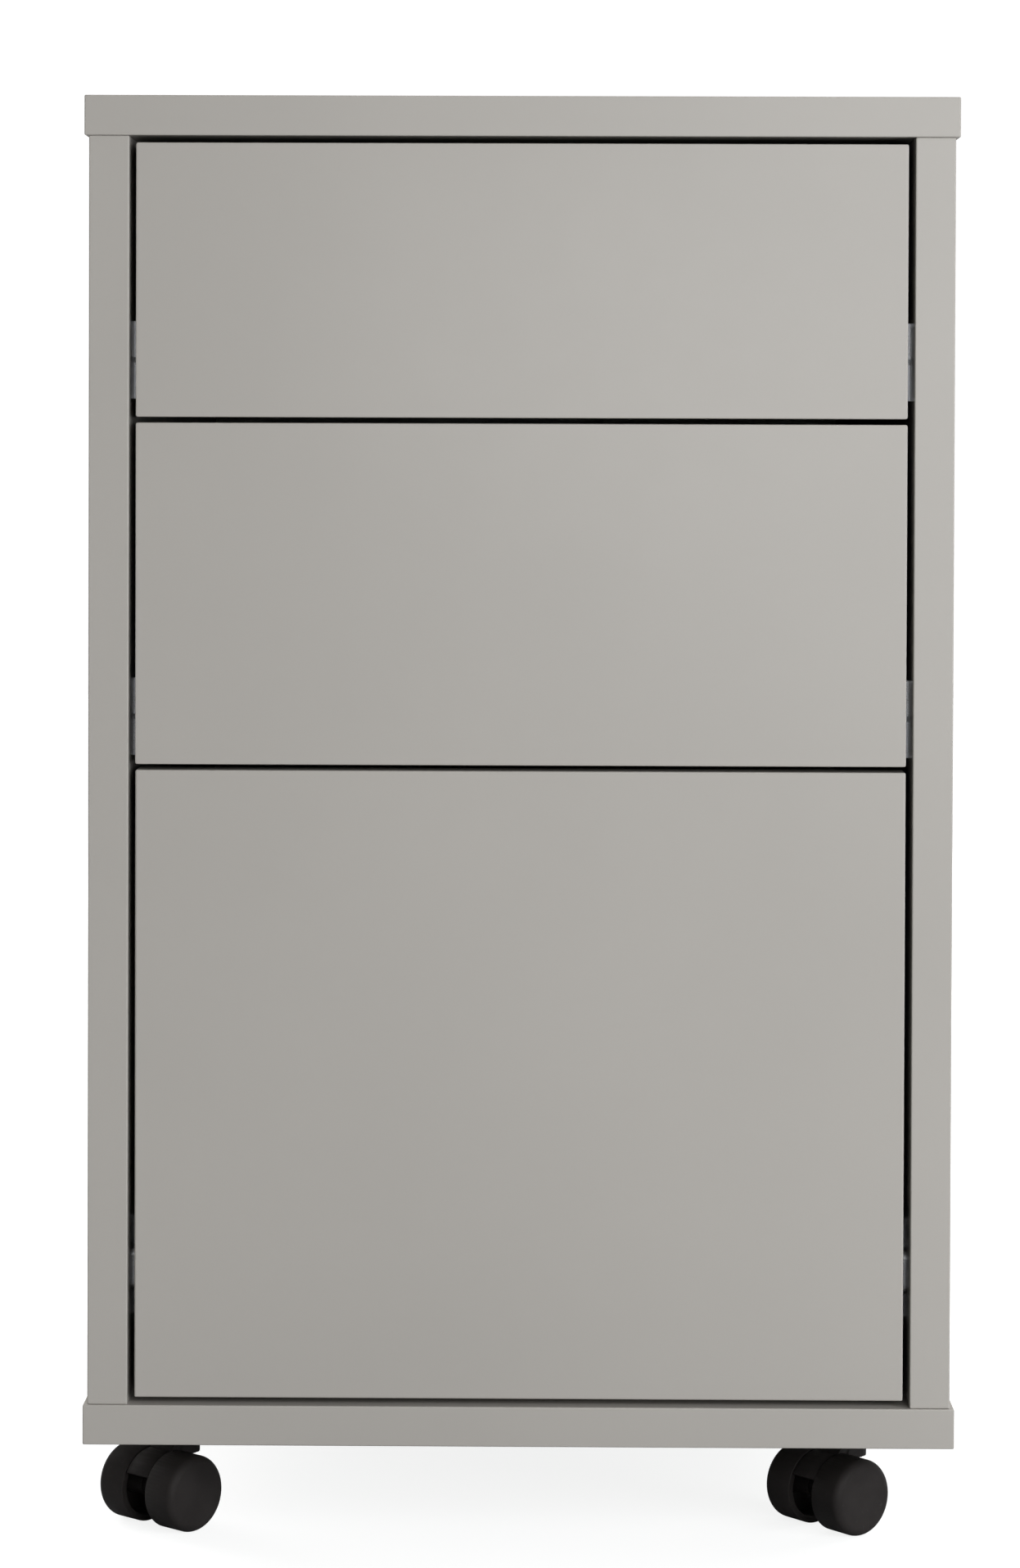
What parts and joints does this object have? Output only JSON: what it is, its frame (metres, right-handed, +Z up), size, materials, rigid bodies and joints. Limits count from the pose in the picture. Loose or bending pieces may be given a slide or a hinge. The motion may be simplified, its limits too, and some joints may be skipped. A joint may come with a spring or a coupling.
{
  "type": "rolling pedestal cabinet",
  "caption": "Rolling office pedestal cabinet with plain push-to-open drawer fronts, ball-bearing slides and swivelling twin-wheel casters.",
  "frame": {"origin": "middle of the footprint, on the floor under the wheels", "axes": "+X to the cabinet's right as seen from behind it, that is to the right in a front view; -Y is the front, where the drawers open; +Z up"},
  "size_m": [0.392, 0.5, 0.657],
  "materials": {
    "laminate": "satin warm-grey melamine laminate on particle board",
    "box_board": "satin light-grey laminated particle board",
    "hardboard": "satin light-grey faced hardboard",
    "beech": "raw fluted beech",
    "zinc": "bright zinc-plated steel",
    "bright_steel": "bright cold-rolled steel",
    "brass": "turned",
    "black_nylon": "fine-textured black nylon",
    "wheel_nylon": "fine-textured black nylon",
    "grey_plastic": "satin grey acetal"
  },
  "bodies": {
    "carcass": {"top_panel": "laminate", "bottom_panel": "laminate", "left_side_panel": "laminate", "right_side_panel": "laminate", "back_panel": "laminate", "wood_dowels": "beech", "cam_bolts": "zinc", "cam_locks": "zinc", "threaded_inserts": "brass", "caster_stems": "zinc", "upper_cabinet_rails": "zinc", "middle_cabinet_rails": "zinc", "lower_cabinet_rails": "zinc", "cabinet_screws": "zinc", "latch_housings": "grey_plastic"},
    "upper_drawer": {"upper_drawer_front": "laminate", "upper_drawer_left_side": "box_board", "upper_drawer_right_side": "box_board", "upper_drawer_back": "box_board", "upper_drawer_base": "hardboard", "upper_drawer_rails": "zinc", "upper_drawer_screws": "zinc"},
    "middle_drawer": {"middle_drawer_front": "laminate", "middle_drawer_left_side": "box_board", "middle_drawer_right_side": "box_board", "middle_drawer_back": "box_board", "middle_drawer_base": "hardboard", "middle_drawer_rails": "zinc", "middle_drawer_screws": "zinc"},
    "lower_drawer": {"lower_drawer_front": "laminate", "lower_drawer_left_side": "box_board", "lower_drawer_right_side": "box_board", "lower_drawer_back": "box_board", "lower_drawer_base": "hardboard", "lower_drawer_rails": "zinc", "lower_drawer_screws": "zinc"},
    "upper_cages": {"upper_ball_cages": "bright_steel"},
    "middle_cages": {"middle_ball_cages": "bright_steel"},
    "lower_outer_cages": {"lower_outer_ball_cages": "bright_steel"},
    "lower_inner_cages": {"lower_inner_ball_cages": "bright_steel"},
    "lower_middle_members": {"lower_middle_rails": "zinc"},
    "upper_plunger": {"upper_latch_plunger": "grey_plastic"},
    "middle_plunger": {"middle_latch_plunger": "grey_plastic"},
    "lower_plunger": {"lower_latch_plunger": "grey_plastic"},
    "front_left_caster": {"front_left_hood": "black_nylon", "front_left_axle": "bright_steel"},
    "front_left_roller_a": {"front_left_wheel_a": "wheel_nylon"},
    "front_left_roller_b": {"front_left_wheel_b": "wheel_nylon"},
    "front_right_caster": {"front_right_hood": "black_nylon", "front_right_axle": "bright_steel"},
    "front_right_roller_a": {"front_right_wheel_a": "wheel_nylon"},
    "front_right_roller_b": {"front_right_wheel_b": "wheel_nylon"},
    "rear_left_caster": {"rear_left_hood": "black_nylon", "rear_left_axle": "bright_steel"},
    "rear_left_roller_a": {"rear_left_wheel_a": "wheel_nylon"},
    "rear_left_roller_b": {"rear_left_wheel_b": "wheel_nylon"},
    "rear_right_caster": {"rear_right_hood": "black_nylon", "rear_right_axle": "bright_steel"},
    "rear_right_roller_a": {"rear_right_wheel_a": "wheel_nylon"},
    "rear_right_roller_b": {"rear_right_wheel_b": "wheel_nylon"}
  },
  "joints": [
    {"name": "upper_drawer_slide", "type": "slide", "parent": "carcass", "child": "upper_drawer", "axis": [0, -1, 0], "range_m": [0, 0.3]},
    {"name": "middle_drawer_slide", "type": "slide", "parent": "carcass", "child": "middle_drawer", "axis": [0, -1, 0], "range_m": [0, 0.3]},
    {"name": "lower_drawer_slide", "type": "slide", "parent": "carcass", "child": "lower_drawer", "axis": [0, -1, 0], "range_m": [0, 0.4]},
    {"name": "upper_cages_slide", "type": "slide", "parent": "carcass", "child": "upper_cages", "axis": [0, -1, 0], "range_m": [0, 0.15]},
    {"name": "middle_cages_slide", "type": "slide", "parent": "carcass", "child": "middle_cages", "axis": [0, -1, 0], "range_m": [0, 0.15]},
    {"name": "lower_outer_cages_slide", "type": "slide", "parent": "carcass", "child": "lower_outer_cages", "axis": [0, -1, 0], "range_m": [0, 0.1]},
    {"name": "lower_middle_members_slide", "type": "slide", "parent": "carcass", "child": "lower_middle_members", "axis": [0, -1, 0], "range_m": [0, 0.2]},
    {"name": "lower_inner_cages_slide", "type": "slide", "parent": "carcass", "child": "lower_inner_cages", "axis": [0, -1, 0], "range_m": [0, 0.301]},
    {"name": "upper_plunger_slide", "type": "slide", "parent": "carcass", "child": "upper_plunger", "axis": [0, -1, 0], "range_m": [0, 0.0155]},
    {"name": "middle_plunger_slide", "type": "slide", "parent": "carcass", "child": "middle_plunger", "axis": [0, -1, 0], "range_m": [0, 0.0155]},
    {"name": "lower_plunger_slide", "type": "slide", "parent": "carcass", "child": "lower_plunger", "axis": [0, -1, 0], "range_m": [0, 0.0155]},
    {"name": "front_left_swivel", "type": "hinge", "parent": "carcass", "child": "front_left_caster", "pos_m": [-0.1555, -0.181, 0.045], "axis": [0, 0, 1], "continuous": true},
    {"name": "front_left_wheel_a_spin", "type": "hinge", "parent": "front_left_caster", "child": "front_left_roller_a", "pos_m": [-0.166, -0.19307, 0.0175], "axis": [0.7547, -0.6561, 0], "continuous": true},
    {"name": "front_left_wheel_b_spin", "type": "hinge", "parent": "front_left_caster", "child": "front_left_roller_b", "pos_m": [-0.166, -0.19307, 0.0175], "axis": [0.7547, -0.6561, 0], "continuous": true},
    {"name": "front_right_swivel", "type": "hinge", "parent": "carcass", "child": "front_right_caster", "pos_m": [0.1555, -0.181, 0.045], "axis": [0, 0, 1], "continuous": true},
    {"name": "front_right_wheel_a_spin", "type": "hinge", "parent": "front_right_caster", "child": "front_right_roller_a", "pos_m": [0.14324, -0.19129, 0.0175], "axis": [0.6428, -0.766, 0], "continuous": true},
    {"name": "front_right_wheel_b_spin", "type": "hinge", "parent": "front_right_caster", "child": "front_right_roller_b", "pos_m": [0.14324, -0.19129, 0.0175], "axis": [0.6428, -0.766, 0], "continuous": true},
    {"name": "rear_left_swivel", "type": "hinge", "parent": "carcass", "child": "rear_left_caster", "pos_m": [-0.1555, 0.181, 0.045], "axis": [0, 0, 1], "continuous": true},
    {"name": "rear_left_wheel_a_spin", "type": "hinge", "parent": "rear_left_caster", "child": "rear_left_roller_a", "pos_m": [-0.166, 0.16892, 0.0175], "axis": [0.7547, -0.6561, 0], "continuous": true},
    {"name": "rear_left_wheel_b_spin", "type": "hinge", "parent": "rear_left_caster", "child": "rear_left_roller_b", "pos_m": [-0.166, 0.16892, 0.0175], "axis": [0.7547, -0.6561, 0], "continuous": true},
    {"name": "rear_right_swivel", "type": "hinge", "parent": "carcass", "child": "rear_right_caster", "pos_m": [0.1555, 0.181, 0.045], "axis": [0, 0, 1], "continuous": true},
    {"name": "rear_right_wheel_a_spin", "type": "hinge", "parent": "rear_right_caster", "child": "rear_right_roller_a", "pos_m": [0.14324, 0.17072, 0.0175], "axis": [0.6428, -0.766, 0], "continuous": true},
    {"name": "rear_right_wheel_b_spin", "type": "hinge", "parent": "rear_right_caster", "child": "rear_right_roller_b", "pos_m": [0.14324, 0.17072, 0.0175], "axis": [0.6428, -0.766, 0], "continuous": true}
  ],
  "couplings": [
    {"joint": "upper_cages_slide", "follows": "upper_drawer_slide", "ratio": 0.5},
    {"joint": "middle_cages_slide", "follows": "middle_drawer_slide", "ratio": 0.5},
    {"joint": "lower_outer_cages_slide", "follows": "lower_drawer_slide", "ratio": 0.25},
    {"joint": "lower_middle_members_slide", "follows": "lower_drawer_slide", "ratio": 0.5},
    {"joint": "lower_inner_cages_slide", "follows": "lower_drawer_slide", "ratio": 0.75},
    {"joint": "upper_plunger_slide", "follows": "upper_drawer_slide", "ratio": 0.05},
    {"joint": "middle_plunger_slide", "follows": "middle_drawer_slide", "ratio": 0.05},
    {"joint": "lower_plunger_slide", "follows": "lower_drawer_slide", "ratio": 0.0375}
  ]
}
